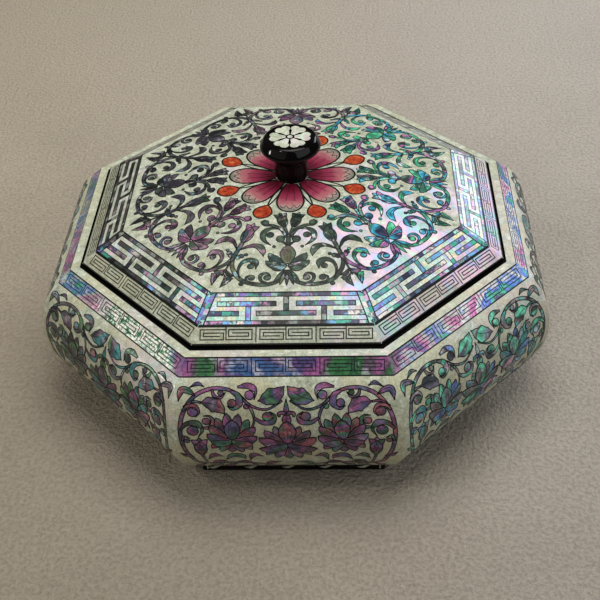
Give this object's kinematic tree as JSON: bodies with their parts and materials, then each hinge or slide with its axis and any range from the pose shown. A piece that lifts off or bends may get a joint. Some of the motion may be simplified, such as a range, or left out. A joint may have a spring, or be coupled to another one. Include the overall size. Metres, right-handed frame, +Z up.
{
  "type": "octagonal serving box",
  "caption": "Octagonal lidded serving box with shell inlay: a knobbed lid lifts off and a set of lacquered dishes lifts out of a bulging body on a low plinth.",
  "frame": {"origin": "centre of the plinth's underside, where the box stands", "axes": "+Z up through the knob; -Y out of side 1, sides numbered anticlockwise seen from above"},
  "size_m": [0.2914, 0.2914, 0.1436],
  "materials": {
    "black_lacquered_wood": "black lacquer, polished",
    "scroll_shell": "pale shell sheet with cut abalone scrolls under clear lacquer",
    "dark_shell": "dark iridescent abalone sheet under clear lacquer",
    "fret_shell": "pale and dark shell strips set as a meander, under clear lacquer",
    "pale_shell": "pale cream-green mother-of-pearl under clear lacquer",
    "pink_shell": "deep pink shell fading to a pale tip",
    "orange_shell": "orange-red polished shell",
    "knob_lacquer": "black lacquer, high gloss",
    "knob_shell": "pale cream mother-of-pearl, polished",
    "dowel_wood": "plain hardwood",
    "dish_lacquer": "dark red lacquer inside, black outside"
  },
  "bodies": {
    "box": {"bottom_board": "black_lacquered_wood", "foot_rails": "black_lacquered_wood", "ledge_strips": "pale_shell", "shoulder_strips": "dark_shell", "side_panel_1": "black_lacquered_wood", "side_panel_2": "black_lacquered_wood", "side_panel_3": "black_lacquered_wood", "side_panel_4": "black_lacquered_wood", "side_panel_5": "black_lacquered_wood", "side_panel_6": "black_lacquered_wood", "side_panel_7": "black_lacquered_wood", "side_panel_8": "black_lacquered_wood", "side_veneer_1": "scroll_shell", "side_veneer_2": "scroll_shell", "side_veneer_3": "scroll_shell", "side_veneer_4": "scroll_shell", "side_veneer_5": "scroll_shell", "side_veneer_6": "scroll_shell", "side_veneer_7": "scroll_shell", "side_veneer_8": "scroll_shell"},
    "lid": {"field_sheets": "pale_shell", "flower_drops": "orange_shell", "flower_petals": "pink_shell", "fret_strips": "fret_shell", "key_strips": "pale_shell", "knob": "knob_lacquer", "knob_dowel": "dowel_wood", "knob_flower": "knob_shell", "lid_block": "black_lacquered_wood", "lid_lip": "black_lacquered_wood", "lid_panel_1": "black_lacquered_wood", "lid_panel_2": "black_lacquered_wood", "lid_panel_3": "black_lacquered_wood", "lid_panel_4": "black_lacquered_wood", "lid_panel_5": "black_lacquered_wood", "lid_panel_6": "black_lacquered_wood", "lid_panel_7": "black_lacquered_wood", "lid_panel_8": "black_lacquered_wood", "lid_rail_1": "black_lacquered_wood", "lid_rail_2": "black_lacquered_wood", "lid_rail_3": "black_lacquered_wood", "lid_rail_4": "black_lacquered_wood", "lid_rail_5": "black_lacquered_wood", "lid_rail_6": "black_lacquered_wood", "lid_rail_7": "black_lacquered_wood", "lid_rail_8": "black_lacquered_wood"},
    "middle_dish": {"centre_dish": "dish_lacquer"},
    "dish_1": {"outer_dish_1": "dish_lacquer"},
    "dish_2": {"outer_dish_2": "dish_lacquer"},
    "dish_3": {"outer_dish_3": "dish_lacquer"},
    "dish_4": {"outer_dish_4": "dish_lacquer"},
    "dish_5": {"outer_dish_5": "dish_lacquer"},
    "dish_6": {"outer_dish_6": "dish_lacquer"},
    "dish_7": {"outer_dish_7": "dish_lacquer"},
    "dish_8": {"outer_dish_8": "dish_lacquer"}
  },
  "joints": [
    {"name": "lid_lift", "type": "slide", "parent": "box", "child": "lid", "axis": [0, 0, 1], "range_m": [0, 0.16]},
    {"name": "middle_dish_lift", "type": "slide", "parent": "box", "child": "middle_dish", "axis": [0, 0, 1], "range_m": [0, 0.08]},
    {"name": "dish_1_lift", "type": "slide", "parent": "box", "child": "dish_1", "axis": [0, 0, 1], "range_m": [0, 0.08]},
    {"name": "dish_2_lift", "type": "slide", "parent": "box", "child": "dish_2", "axis": [0, 0, 1], "range_m": [0, 0.08]},
    {"name": "dish_3_lift", "type": "slide", "parent": "box", "child": "dish_3", "axis": [0, 0, 1], "range_m": [0, 0.08]},
    {"name": "dish_4_lift", "type": "slide", "parent": "box", "child": "dish_4", "axis": [0, 0, 1], "range_m": [0, 0.08]},
    {"name": "dish_5_lift", "type": "slide", "parent": "box", "child": "dish_5", "axis": [0, 0, 1], "range_m": [0, 0.08]},
    {"name": "dish_6_lift", "type": "slide", "parent": "box", "child": "dish_6", "axis": [0, 0, 1], "range_m": [0, 0.08]},
    {"name": "dish_7_lift", "type": "slide", "parent": "box", "child": "dish_7", "axis": [0, 0, 1], "range_m": [0, 0.08]},
    {"name": "dish_8_lift", "type": "slide", "parent": "box", "child": "dish_8", "axis": [0, 0, 1], "range_m": [0, 0.08]}
  ],
  "couplings": [
    {"joint": "middle_dish_lift", "follows": "lid_lift", "ratio": 0.5},
    {"joint": "dish_1_lift", "follows": "lid_lift", "ratio": 0.5},
    {"joint": "dish_2_lift", "follows": "lid_lift", "ratio": 0.5},
    {"joint": "dish_3_lift", "follows": "lid_lift", "ratio": 0.5},
    {"joint": "dish_4_lift", "follows": "lid_lift", "ratio": 0.5},
    {"joint": "dish_5_lift", "follows": "lid_lift", "ratio": 0.5},
    {"joint": "dish_6_lift", "follows": "lid_lift", "ratio": 0.5},
    {"joint": "dish_7_lift", "follows": "lid_lift", "ratio": 0.5},
    {"joint": "dish_8_lift", "follows": "lid_lift", "ratio": 0.5}
  ]
}
